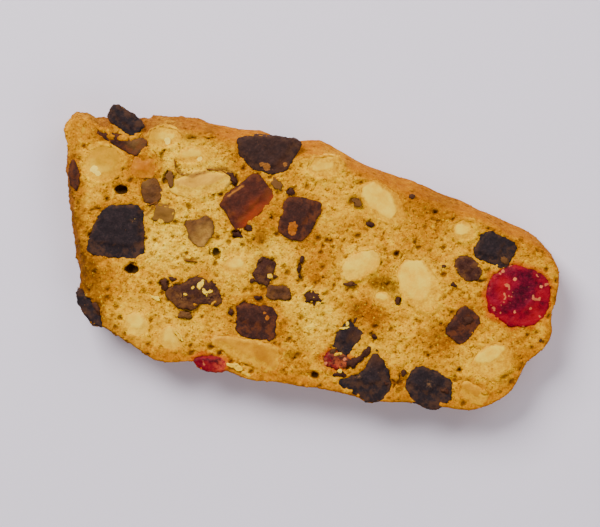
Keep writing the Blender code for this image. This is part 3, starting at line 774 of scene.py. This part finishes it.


# screen colours, each ramp from the crumb's dark hollows to its bright grains; the ramps follow the bump's
# height, so besides the crumb's own tone they paint shade in its hollows and highlights on its grains
crumbPaints = {
    "plain": ((0.30, (108, 62, 2)), (0.41, (170, 106, 0)), (0.49, (208, 141, 0)), (0.57, (228, 166, 0)),
              (0.68, (244, 194, 8))),
    "pale": ((0.30, (146, 98, 8)), (0.41, (210, 153, 10)), (0.52, (244, 194, 26)), (0.64, (255, 223, 74))),
    "yolk": ((0.30, (136, 84, 0)), (0.41, (200, 136, 0)), (0.52, (230, 167, 0)), (0.64, (248, 198, 18))),
    "amber": ((0.30, (114, 60, 4)), (0.43, (160, 94, 0)), (0.55, (188, 117, 0)), (0.68, (218, 152, 4))),
    "crust": ((0.34, (142, 76, 2)), (0.50, (174, 101, 2)), (0.66, (198, 131, 4))),
    "westCrust": ((0.32, (74, 42, 22)), (0.50, (126, 72, 24)), (0.68, (174, 106, 32))),
    "rust": ((0.34, (92, 40, 4)), (0.48, (142, 72, 2)), (0.64, (184, 112, 4))),
    "brown": ((0.32, (56, 30, 8)), (0.50, (106, 62, 10)), (0.68, (154, 98, 14))),
    # painted shade of pores too fine to model
    "speckShade": (108, 60, 4),
    # pale crumb, partly a painted highlight on its grains
    "bright": (245, 202, 30),
    "line": (96, 52, 26),
    "red": (186, 58, 14),
    # the next two: colours of the painted shade in pores, cracks and pits, the deepest nearly black
    "pore": (112, 64, 8),
    "deep": (34, 21, 14),
}


def crumbColour(look):      # the crumb's colour without its crust and pores, and what its ramps follow
    broad = look.noise(7 * mm, 2)
    patch = look.noise(3.2 * mm, 2, 0.5, 0.3)
    clump = look.noise(2.6 * mm, 3, 0.6, 0.8)
    grain = look.noise(1.2 * mm, 4, 0.7)
    fine = look.noise(0.42 * mm, 3, 0.6, 0.4)
    mixed = grain * 0.48 + fine * 0.38 + clump * 0.22 - 0.04 + look.layer("shade") * 0.06
    kinds = ("plain", "pale", "yolk", "amber")
    colour, pale, yolk, amber = [look.ramp(mixed, *crumbPaints[kind]) for kind in kinds]
    colour = look.mix(look.step(0.48, 0.62, patch) * 0.6, colour, yolk)
    colour = look.mix(look.step(0.42, 0.66, broad) * 0.5, colour, amber)
    for layer, paint in (("pale", pale), ("yolk", yolk), ("amber", amber)):
        colour = look.mix(look.layer(layer) * 0.9, colour, paint)
    return colour, mixed


def crumbLook():
    look = Look("baked_crumb", Roughness=0.85, Specular_IOR_Level=0.05)
    colour, mixed = crumbColour(look)
    kinds = ("crust", "westCrust", "rust", "brown")
    crust, westCrust, rust, brown = [look.ramp(mixed, *crumbPaints[kind]) for kind in kinds]
    baked = look.layer("crust")
    colour = look.mix(baked, colour, look.mix(look.layer("west") * 0.8, crust, westCrust))
    colour = look.mix(look.layer("rust") * 0.8, colour, rust)
    # brown stains, and in one place a painted shadow between two nuts
    colour = look.mix(look.layer("brown") * 0.8, colour, brown)
    plain = 1 - baked * (1 - look.layer("west")) * 0.8      # less on the smooth crust
    # dark specks: painted shade of pores too fine to model, fewer on the smooth crust
    specks = look.step(0.57, 0.66, look.noise(0.75 * mm, 2, 0.7, 0.9)) * plain
    colour = look.mix(specks * 0.7, colour, crumbPaints["speckShade"])
    # pale specks: partly pale crumb, partly painted highlights on its grains, few on the crust
    bright = look.step(0.60, 0.70, look.noise(0.6 * mm, 2, 0.6, 0.15)) * plain
    colour = look.mix(bright * (1 - baked * 0.7) * 0.4, colour, crumbPaints["bright"])
    colour = look.mix(look.layer("line") * 0.8, colour, crumbPaints["line"])
    colour = look.mix(look.layer("red") * 0.6, colour, crumbPaints["red"])
    # painted shade: pores, cracks, pits and dips darkened, the deepest nearly black
    colour = look.mix(look.step(0.1, 0.55, look.layer("pore")) * 0.7, colour, crumbPaints["pore"])
    colour = look.mix(look.step(0.6, 1.0, look.layer("pore")) * 0.9, colour, crumbPaints["deep"])
    return look.use(colour, mixed, 0.25 * mm)


makeCrumb()


# Fruit and nuts, in millimetres: the voxel, the height and size of the ragged edge and then of the bumps on
# the cut surface, the depth of the wrinkles, and how far the rim dips
bodies = {
    "nut": (0.36, 0.40, 2.2, 0.10, 2.6, 0.0, 0.12),
    "walnut": (0.32, 0.45, 1.6, 0.12, 1.4, 0.08, 0.2),
    "prune": (0.32, 0.35, 1.6, 0.10, 1.2, 0.10, 0.26),
    "date": (0.30, 0.30, 1.6, 0.08, 1.2, 0.06, 0.22),
    "raisin": (0.28, 0.50, 1.2, 0.14, 1.0, 0.14, 0.2),
    "orange_peel": (0.30, 0.6, 1.8, 0.10, 1.4, 0.04, 0.2),
    "yellow_peel": (0.34, 0.40, 2.2, 0.10, 2.4, 0.0, 0.2),
    "cherry": (0.34, 0.30, 1.8, 0.12, 1.6, 0.08, 0.2),
}
fruitValues = {
    "swell": 0.34 * mm,         # closes the gap between the solid and its pocket
    "settle": 0.30,             # how far the swelled top goes back down, in millimetres
    "topDepth": 0.5 * mm,
    "lowest": 0.01 * mm,
    "flat": (0.5, 0.9),         # how far a cut surface's points face up, or down
    "furrowSize": 0.7,          # beside the bumps'
    "furrowed": (0.2, 0.9),
    "dipReach": 0.7 * mm,
    "rimReach": 1.2,            # how far in the rim's colour comes, in millimetres
    "rimShare": 0.75,           # but at most this share of the way to the middle
    "rimEdge": 0.15 * mm,
    "rimRagged": 0.3 * mm,
    "walnutPale": 0.8,
    "golden": 0.9,
}
nutValues = {**fruitValues, "settle": 0.43, "rimReach": 0.9}


# marks on single pieces: a tone of its own from 0 to 1, how much of its rim is the crumb's colour, how
# furrowed it is, places (x, y, spread, strength) that glow, are pale or flecked, and spots and lines
fruitMarks = {
    "nut_corner": {"tone": 1.0},
    "walnut_bit": {"tone": 1, "edge": 0.1},
    "nut_left": {"tone": 0.1,
                 "glow": ((-43.5, 12.2, 2.6, 1), (-40.5, 12.8, 2.4, 1), (-40.4, 10.2, 1.8, 0.5)),
                 "spot": ((-43.5, 8.9, 0.75), (-42.5, 8.3, 0.6), (-42.9, 9.3, 0.4))},
    "nut_top_left": {"glow": ((-33.6, 19.4, 2.2, 0.6), (-33.8, 16.6, 1.8, 0.5)),
                     "spot": ((-30.6, 17.5, 0.7),)},
    "nut_upper": {"tone": 0.25, "spot": ((-23.6, 15.4, 0.6),)},
    "nut_under_hump": {"glow": ((-1, 20.6, 1.6, 0.4),)},
    "nut_long": {"tone": 0.1},
    "nut_low": {"tone": 0.2, "edge": 0.6},
    "nut_low_left": {"tone": 0.05, "edge": 0.6},
    "nut_middle": {"edge": 0.5},
    "nut_right": {"edge": 0.8},
    "date_amber": {"tone": 0.12,
                   "glow": ((-8.6, 8.4, 2.6, 1), (-11.6, 5.4, 2, 0.9), (-7.6, 11.2, 1.4, 0.8),
                            (-10, 6.6, 2, 0.7)),
                   "line": ((0.12, 0, (-16.4, 9.6), (-15.4, 11), (-14.2, 12.3)),)},
    "date_tan": {"spot": ((-3, 6.7, 1), (-2.8, 5.9, 0.9))},
    "date_square": {"spot": ((-3.9, -11.8, 0.5), (-4.6, -11, 0.3))},
    "date_curl": {"pale": ((-36.4, 15.7, 1.8, 0.3),)},
    "peel_left": {"deep": 0.8},
    "raisin_upper": {"tone": 0.5, "pale": ((-32.9, 8.6, 1, 0.25),)},
    "fruit_heart": {"tone": 0.6, "pale": ((-19.8, -0.2, 2.2, 1), (-19.2, 2.2, 1.2, 0.7))},
    "raisin_long": {"deep": 1, "fleck": ((-21, -11.6, 1, 0.4), (-15.6, -10.4, 0.8, 0.4))},
    "raisin_sliver": {"tone": 0.3},
    "prune_bit": {"glow": ((13.6, -11.4, 1.4, 0.3),)},
    "prune_low": {"fleck": ((12.6, -18.9, 0.6, 0.7), (16.2, -19, 0.4, 0.5)),
                  "glow": ((18.8, -14.6, 1.6, 0.3),)},
    "prune_low_right": {"fleck": ((30, -17.2, 0.6, 0.4),)},
    "prune_top": {"tone": 0.22, "spot": ((-10.6, 16.9, 0.8), (-11.6, 17.2, 0.5), (-7.2, 18.2, 0.5)),
                  "glow": ((-7.8, 18, 1.2, 0.4),)},
    "prune_big": {"glow": ((-31, 0.4, 0.7, 0.7), (-30.6, -3.2, 0.7, 0.7), (-30.8, -1.4, 0.6, 0.6)),
                  "fleck": ((-33.6, 1, 0.5, 0.25),)},
    "cherry_edge": {"tone": 0.2, "pale": ((-9.6, -22.6, 1.8, 0.8),)},
    "cherry_bit": {"tone": 1, "pale": ((11.6, -17.6, 0.8, 0.6), (13.2, -17, 0.6, 0.6)),
                   "spot": ((9.3, -17.9, 0.4), (12.7, -16.2, 0.4))},
    "cherry_end": {"glow": ((39.6, 5.2, 1.6, 0.9), (40, 2.6, 1.4, 0.7), (47.2, 0.8, 1.6, 0.6)),
                   "spot": ((41.6, 6.4, 0.45), (46.9, 6.2, 0.4), (43, 0.2, 0.35))},
    "candied_strip": {"fleck": ((-10, -17.6, 3.2, 0.5),), "glow": ((-1.6, -20.4, 2.6, 0.4),)},
}


def makeFruit(name, material):
    slot = slotOf[name]
    values = nutValues if slot == "nut" else fruitValues
    voxel, ragged, raggedSize, rise, riseSize, wrinkle, rimDip = bodies[slot]
    marks = fruitMarks.get(name, {})
    seed = fruitNames.index(name) + 1
    mesh = remeshed(nodeCopy(name, values["swell"]), voxel * mm, name + "_piece")
    points, normals = shapeOf(mesh)
    cut = smooth(*values["flat"], np.abs(normals[:, 2]))      # the surfaces that the knife left flat
    uneven = noiseAt(points, raggedSize * mm, 3, seed)
    bumps = noiseAt(points, riseSize * mm, 3, seed + 0.5)
    furrows = 1 - 2 * np.abs(noiseAt(points, riseSize * values["furrowSize"] * mm, 2, seed + 0.8))
    out = uneven * ragged * (1 - cut) + bumps * rise * cut + furrows * wrinkle * 0.5
    moved = points + normals * (out * mm)[:, None]
    # how far in from the rim of the cut surface each point is
    rim = treeOf([(p[0], p[1], 0) for p, share in zip(points, cut) if share < 0.5])
    inward = np.array([rim.find((x, y, 0))[2] for x, y, z in points])
    # the swelled top goes back down to the cut face, and dips at its rim so that the crumb laps over it
    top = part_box(name)[1][2]
    atTop = smooth(top - values["topDepth"], top, points[:, 2])
    dip = (values["settle"] + rimDip * smooth(values["dipReach"], 0.0, inward)) * mm
    moved[:, 2] = np.clip(moved[:, 2] - dip * atTop, values["lowest"], ceiling["fruit"])
    movePoints(mesh, moved)
    rimReach = min(values["rimReach"] * mm, values["rimShare"] * inward[cut > 0.5].max())
    golden = slot in ("nut", "yellow_peel") and name != "nut_corner"      # with the yolk's colour at its rim
    paint(
        mesh,
        rim=smooth(rimReach, values["rimEdge"], inward + uneven * values["rimRagged"]) * marks.get("edge", 1),
        furrow=np.maximum(smooth(*values["furrowed"], furrows), marks.get("deep", 0)),
        tone=np.full(len(points), marks.get("tone", 0)),
        glow=tintAt(points, marks.get("glow", ()), uneven),
        fleck=tintAt(points, marks.get("fleck", ()), uneven),
        pale=values["walnutPale"] * (slot == "walnut") + tintAt(points, marks.get("pale", ()), uneven),
        yolk=np.full(len(points), values["golden"] * golden),
        amber=tintAt(points, tints["amber"], uneven),
        spot=spotAt(points, marks.get("spot", ())),
        line=lineAt(points, skinLines + marks.get("line", ()), uneven)[0] * cut,
    )
    finish(mesh, name + "_piece", material, slot, name)


# screen colours; soft is how far the crumb's colour comes in over the rim
nutPaints = {
    "nut": {"heart": (244, 202, 54), "shade": (236, 174, 18), "warm": (196, 136, 0), "soft": 0.95},
    "walnut": {"heart": (219, 162, 44), "shade": (190, 133, 36), "warm": (112, 74, 34), "soft": 0.75},
}


def nutLook(name):
    paints = nutPaints[name]
    warm = paints["warm"]
    look = Look(name, Roughness=0.6, Specular_IOR_Level=0.06)
    cloud = look.noise(2.4 * mm, 3, 0.55)
    fine = look.noise(0.5 * mm, 3)
    colour = look.ramp(cloud * 0.75 + fine * 0.25, (0.36, paints["shade"]), (0.58, paints["heart"]))
    baked = crumbColour(look)[0]
    toned = look.ramp(cloud, (0.4, [part * 0.9 for part in warm]), (0.6, warm))
    colour = look.mix(look.layer("tone") * 0.9, colour, toned)
    rim = look.step(0.1, 0.9, look.layer("rim") * (fine * 0.9 + 0.55)) * paints["soft"]
    colour = look.mix(rim, colour, baked)
    colour = look.mix(look.layer("glow") * (fine * 0.5 + 0.7), colour, toned)
    colour = look.mix(look.layer("line") * 0.75, colour, (110, 62, 30))
    colour = look.mix(look.spots(), colour, (250, 214, 84))
    return look.use(colour, cloud * 0.3 + fine * 0.7, 0.09 * mm)


# screen colours: lit where the fruit is thin, and the relief in millimetres
darkPaints = {
    "prune": {"deep": (24, 17, 20), "main": (42, 31, 34), "bright": (68, 50, 49), "edge": (84, 52, 30),
              "lit": (104, 56, 20), "spot": (160, 98, 38), "roughness": 0.55, "relief": 0.22},
    "date": {"deep": (41, 21, 17), "main": (64, 33, 26), "bright": (92, 51, 35), "edge": (110, 54, 18),
             "lit": (142, 50, 10), "spot": (184, 100, 18), "roughness": 0.5, "relief": 0.2},
    "raisin": {"deep": (46, 20, 16), "main": (72, 40, 30), "bright": (106, 70, 43), "edge": (112, 68, 26),
               "lit": (124, 82, 34), "spot": (226, 176, 70), "roughness": 0.55, "relief": 0.22},
}


def darkLook(name):
    paints = darkPaints[name]
    deep, lit, spot = paints["deep"], paints["lit"], paints["spot"]
    look = Look(name, Specular_IOR_Level=0.1)
    patchy = look.noise(4 * mm, 2, 0.5, 0.2)
    blotch = look.noise(1.4 * mm, 4, 0.65)
    grit = look.noise(0.5 * mm, 2, 0.6, 0.7)
    fine = look.noise(0.35 * mm, 4, 0.7, 0.3)
    mixed = blotch * 0.4 + fine * 0.6
    colour = look.ramp(mixed, (0.34, deep), (0.52, paints["main"]), (0.70, paints["bright"]))
    colour = look.mix(look.layer("tone") * 0.8, colour, lit)
    colour = look.mix(look.layer("furrow") * 0.45, colour, deep)
    colour = look.mix(look.layer("pale") * (fine * 0.6 + 0.5), colour, (178, 130, 56))
    colour = look.mix(look.layer("glow") * 0.85, colour, lit)
    colour = look.mix(look.layer("rim") * look.step(0.42, 0.62, blotch) * 0.5, colour, paints["edge"])
    colour = look.mix(look.layer("line") * 0.6, colour, (204, 126, 36))
    dust = look.step(0.66, 0.76, grit) * look.step(0.52, 0.62, patchy)
    colour = look.mix(dust * 0.45, colour, (150, 96, 44))
    dusty = look.ramp(fine, (0.35, [part * 0.7 for part in spot]), (0.6, spot))
    colour = look.mix(look.spots(), colour, dusty)
    colour = look.mix(look.layer("fleck") * look.step(0.46, 0.58, fine) * 0.7, colour, (200, 140, 76))
    rough = look.step(0.3, 0.7, fine) * 0.25 + paints["roughness"]
    return look.use(colour, mixed, paints["relief"] * mm, rough)


peelPaints = {
    "orange_peel": {"deep": (156, 82, 0), "main": (176, 100, 0), "bright": (196, 122, 0), "soft": 0.5},
    "yellow_peel": {"deep": (164, 101, 0), "main": (187, 122, 0), "bright": (210, 146, 0), "soft": 0.6},
}


def peelLook(name):
    paints = peelPaints[name]
    deep, bright = paints["deep"], paints["bright"]
    look = Look(name, Roughness=0.5, Specular_IOR_Level=0.1)
    cloud = look.noise(2.6 * mm, 3, 0.5)
    fine = look.noise(0.6 * mm, 3)
    colour = look.ramp(cloud * 0.7 + fine * 0.3, (0.34, deep), (0.50, paints["main"]), (0.66, bright))
    colour = look.mix(look.layer("glow") * 0.7, colour, deep)
    colour = look.mix(look.layer("fleck") * 0.7, colour, bright)
    baked = crumbColour(look)[0]
    rim = look.step(0.1, 0.9, look.layer("rim") * (fine * 0.9 + 0.55)) * paints["soft"]
    colour = look.mix(rim, look.mix(look.layer("rim") * 0.3, colour, deep), baked)
    return look.use(colour, cloud * 0.6 + fine * 0.4, 0.25 * mm)


cherryPaints = {
    "flesh": ((0.38, (54, 4, 20)), (0.50, (88, 6, 30)), (0.64, (132, 16, 42))),
    "dull": ((0.40, (58, 30, 28)), (0.60, (128, 66, 34))),
    "rim": (148, 8, 26),
    "glow": (178, 12, 22),
    "pale": (204, 84, 44),
    "sugar": (206, 118, 70),
    "spot": (210, 116, 72),
}


def cherryLook():      # dark crimson, brighter at its rim, with pale specks of sugar
    look = Look("cherry", Roughness=0.45, Specular_IOR_Level=0.07)
    cloud = look.noise(2.2 * mm, 4, 0.6)
    coarse = look.noise(1.1 * mm, 1, 0.4, 0.35)
    fine = look.noise(0.6 * mm, 3)
    colour = look.ramp(cloud * 0.6 + fine * 0.4, *cherryPaints["flesh"])
    colour = look.mix(look.layer("rim") * look.step(0.25, 0.6, cloud) * 0.8, colour, cherryPaints["rim"])
    colour = look.mix(look.layer("glow") * 0.8, colour, cherryPaints["glow"])
    dull = look.ramp(fine, *cherryPaints["dull"])
    colour = look.mix(look.layer("tone") * look.step(0.40, 0.55, cloud), colour, dull)
    colour = look.mix(look.layer("pale") * look.step(0.35, 0.6, fine), colour, cherryPaints["pale"])
    sugar = look.step(0.67, 0.71, coarse) * (1 - look.layer("tone"))
    colour = look.mix(sugar * 0.7, colour, cherryPaints["sugar"])
    colour = look.mix(look.spots(), colour, cherryPaints["spot"])
    return look.use(colour, cloud * 0.7 + fine * 0.3, 0.5 * mm)


def makeAllFruit():
    looks = {"cherry": cherryLook()}
    for makeLook, paints in ((nutLook, nutPaints), (darkLook, darkPaints), (peelLook, peelPaints)):
        looks.update({name: makeLook(name) for name in paints})
    for name in fruitNames:
        makeFruit(name, looks[slotOf[name]])
    makeBits("fruit_bits", bits, looks["raisin"], "raisin", tone=(0.8, 0.0), furrow=(-1.0, 1.0))
    makeBits("walnut_skin", skins, looks["walnut"], "walnut", line=(0.0, 1.3))


makeAllFruit()
print("fruit and nuts made")
